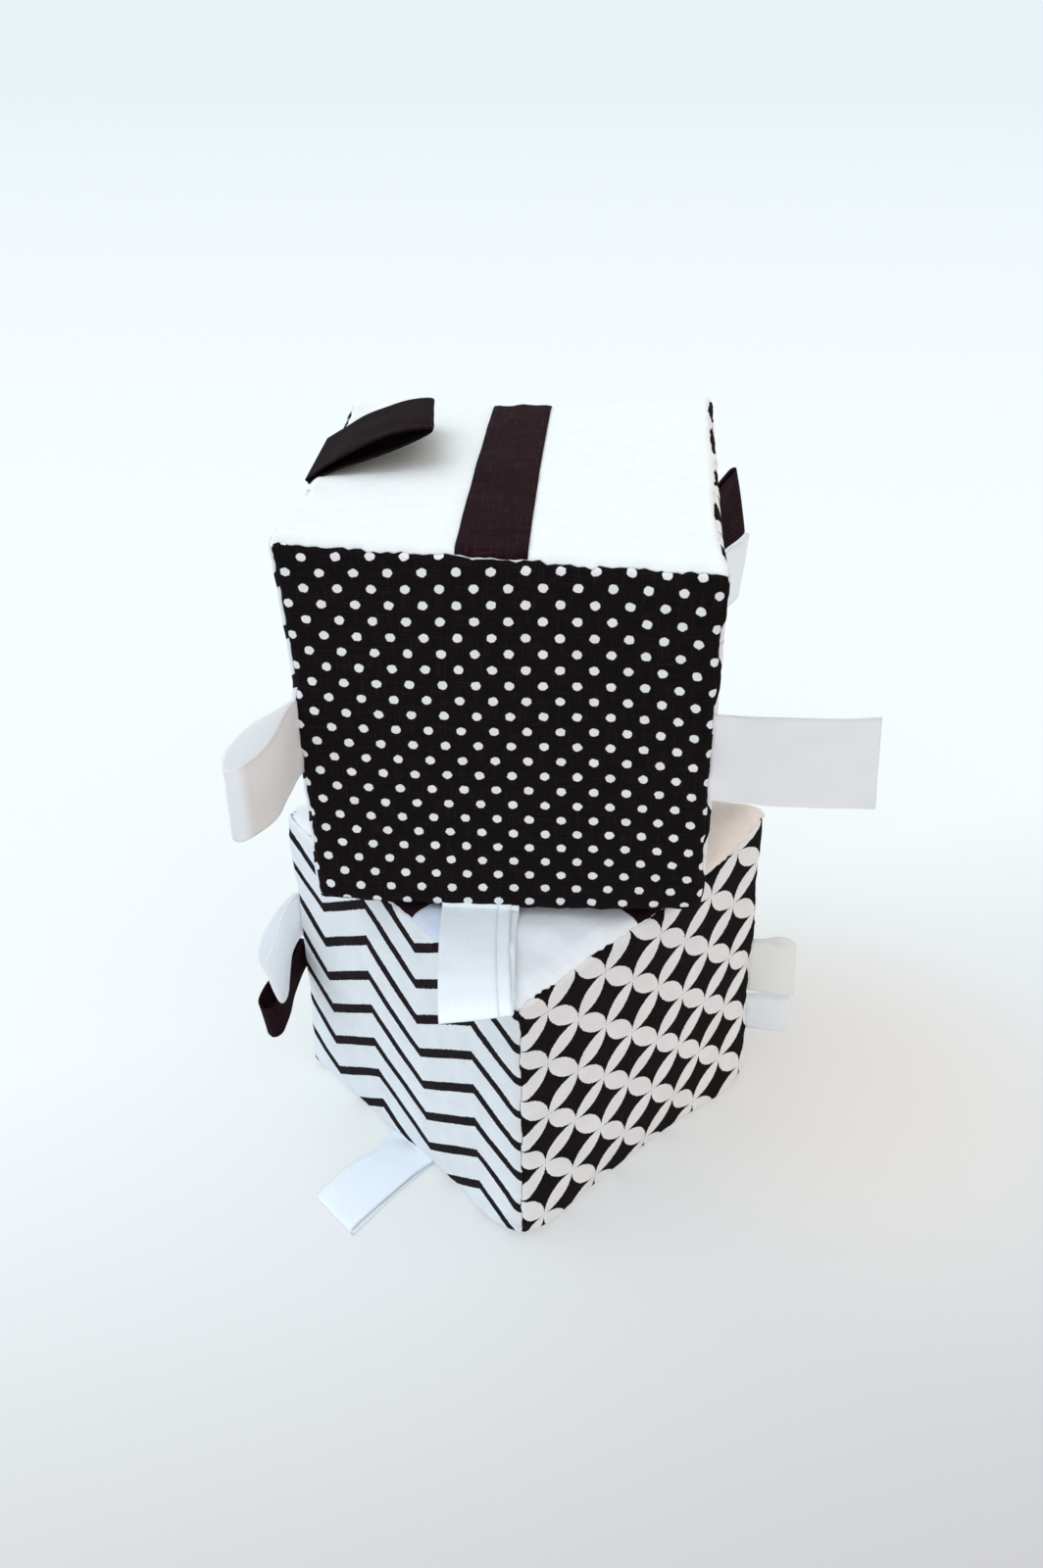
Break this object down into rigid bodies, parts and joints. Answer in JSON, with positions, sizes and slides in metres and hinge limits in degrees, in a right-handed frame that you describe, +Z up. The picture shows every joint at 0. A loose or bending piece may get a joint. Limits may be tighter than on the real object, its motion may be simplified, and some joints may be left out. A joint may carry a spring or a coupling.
{
  "type": "soft fabric block",
  "caption": "Pair of stacked soft foam cubes in printed cotton and plush covers, with folded ribbon tags sewn into the seams to grasp and pull.",
  "frame": {"origin": "centre of the lower block's resting face", "axes": "+Z up through both blocks; the upper block is square to the axes with its dotted face towards -Y; the lower block is turned 42.2 degrees clockwise under it, seen from above"},
  "size_m": [0.1649, 0.1642, 0.2092],
  "materials": {
    "dot_cotton": "printed cotton, matte",
    "chevron_cotton": "printed cotton, matte",
    "circle_cotton": "printed cotton, matte",
    "plain_cotton": "plain cotton, matte",
    "white_plush": "short pile plush",
    "black_ribbon": "woven ribbon",
    "white_ribbon": "woven cotton tape",
    "white_satin": "thin satin",
    "foam": "open cell foam"
  },
  "bodies": {
    "lower_block": {"lower_back_left_panel": "dot_cotton", "lower_back_right_panel": "dot_cotton", "lower_base_panel": "plain_cotton", "lower_chevron_panel": "chevron_cotton", "lower_circle_panel": "circle_cotton", "lower_foam_core": "foam", "lower_plush_panel": "white_plush", "lower_ribbon_over": "black_ribbon", "lower_ribbon_under": "black_ribbon"},
    "upper_block": {"upper_back_panel": "chevron_cotton", "upper_bottom_panel": "plain_cotton", "upper_chevron_panel": "chevron_cotton", "upper_circle_panel": "circle_cotton", "upper_dot_panel": "dot_cotton", "upper_foam_core": "foam", "upper_plush_panel": "white_plush", "upper_ribbon_stripe": "black_ribbon"},
    "upper_black_loop_top": {"upper_black_loop_top": "black_ribbon"},
    "upper_white_loop_left": {"upper_white_loop_left": "white_ribbon"},
    "upper_satin_label": {"upper_satin_label": "white_satin"},
    "upper_white_loop_front": {"upper_white_loop_front": "white_ribbon"},
    "upper_black_loop_right": {"upper_black_loop_right": "black_ribbon"},
    "upper_white_loop_right": {"upper_white_loop_right": "white_ribbon"},
    "lower_white_loop_left": {"lower_white_loop_left": "white_ribbon"},
    "lower_black_loop_left": {"lower_black_loop_left": "black_ribbon"},
    "lower_satin_loop_right": {"lower_satin_loop_right": "white_satin"},
    "lower_white_loop_right": {"lower_white_loop_right": "white_ribbon"},
    "lower_white_loop_floor": {"lower_white_loop_floor": "white_ribbon"}
  },
  "joints": [
    {"name": "upper_block_lift", "type": "slide", "parent": "lower_block", "child": "upper_block", "axis": [0, 0, 1], "range_m": [0, 0.15]},
    {"name": "upper_black_loop_top_swing", "type": "hinge", "parent": "upper_block", "child": "upper_black_loop_top", "pos_m": [-0.05242, 0.01355, 0.19964], "axis": [0, 1, 0], "range_deg": [-165, 3], "stiffness_Nm_per_rad": 0.0003},
    {"name": "upper_white_loop_left_swing", "type": "hinge", "parent": "upper_block", "child": "upper_white_loop_left", "pos_m": [-0.0524, -0.0362, 0.15], "axis": [0, 0, 1], "range_deg": [-115, 80], "stiffness_Nm_per_rad": 0.0003},
    {"name": "upper_satin_label_swing", "type": "hinge", "parent": "upper_block", "child": "upper_satin_label", "pos_m": [0.04723, -0.03583, 0.14871], "axis": [0, 0, 1], "range_deg": [-140, 65], "stiffness_Nm_per_rad": 0.0003},
    {"name": "upper_white_loop_front_swing", "type": "hinge", "parent": "upper_block", "child": "upper_white_loop_front", "pos_m": [-0.00951, -0.03621, 0.10113], "axis": [-1, 0, 0], "range_deg": [0, 55], "stiffness_Nm_per_rad": 0.0003},
    {"name": "upper_black_loop_right_swing", "type": "hinge", "parent": "upper_block", "child": "upper_black_loop_right", "pos_m": [0.04766, 0.06386, 0.15909], "axis": [0, 0, 1], "range_deg": [-110, 85], "stiffness_Nm_per_rad": 0.0003},
    {"name": "upper_white_loop_right_swing", "type": "hinge", "parent": "upper_block", "child": "upper_white_loop_right", "pos_m": [0.04771, 0.06391, 0.13824], "axis": [0, 0, 1], "range_deg": [-105, 90], "stiffness_Nm_per_rad": 0.0003},
    {"name": "lower_white_loop_left_swing", "type": "hinge", "parent": "lower_block", "child": "lower_white_loop_left", "pos_m": [-0.07074, -0.00346, 0.06167], "axis": [0, 0, 1], "range_deg": [-170, 20], "stiffness_Nm_per_rad": 0.0003},
    {"name": "lower_black_loop_left_swing", "type": "hinge", "parent": "lower_block", "child": "lower_black_loop_left", "pos_m": [-0.07061, -0.00345, 0.04712], "axis": [0, 0, 1], "range_deg": [-170, 20], "stiffness_Nm_per_rad": 0.0003},
    {"name": "lower_satin_loop_right_swing", "type": "hinge", "parent": "lower_block", "child": "lower_satin_loop_right", "pos_m": [0.07067, 0.00346, 0.04478], "axis": [0, 0, 1], "range_deg": [-90, 90], "stiffness_Nm_per_rad": 0.0003},
    {"name": "lower_white_loop_right_swing", "type": "hinge", "parent": "lower_block", "child": "lower_white_loop_right", "pos_m": [0.07096, 0.00347, 0.02593], "axis": [0, 0, 1], "range_deg": [-95, 90], "stiffness_Nm_per_rad": 0.0003},
    {"name": "lower_white_loop_floor_swing", "type": "hinge", "parent": "lower_block", "child": "lower_white_loop_floor", "pos_m": [-0.03133, -0.03984, 0.00085], "axis": [-0.7408, 0.6717, 0], "range_deg": [0, 65], "stiffness_Nm_per_rad": 0.0003}
  ]
}
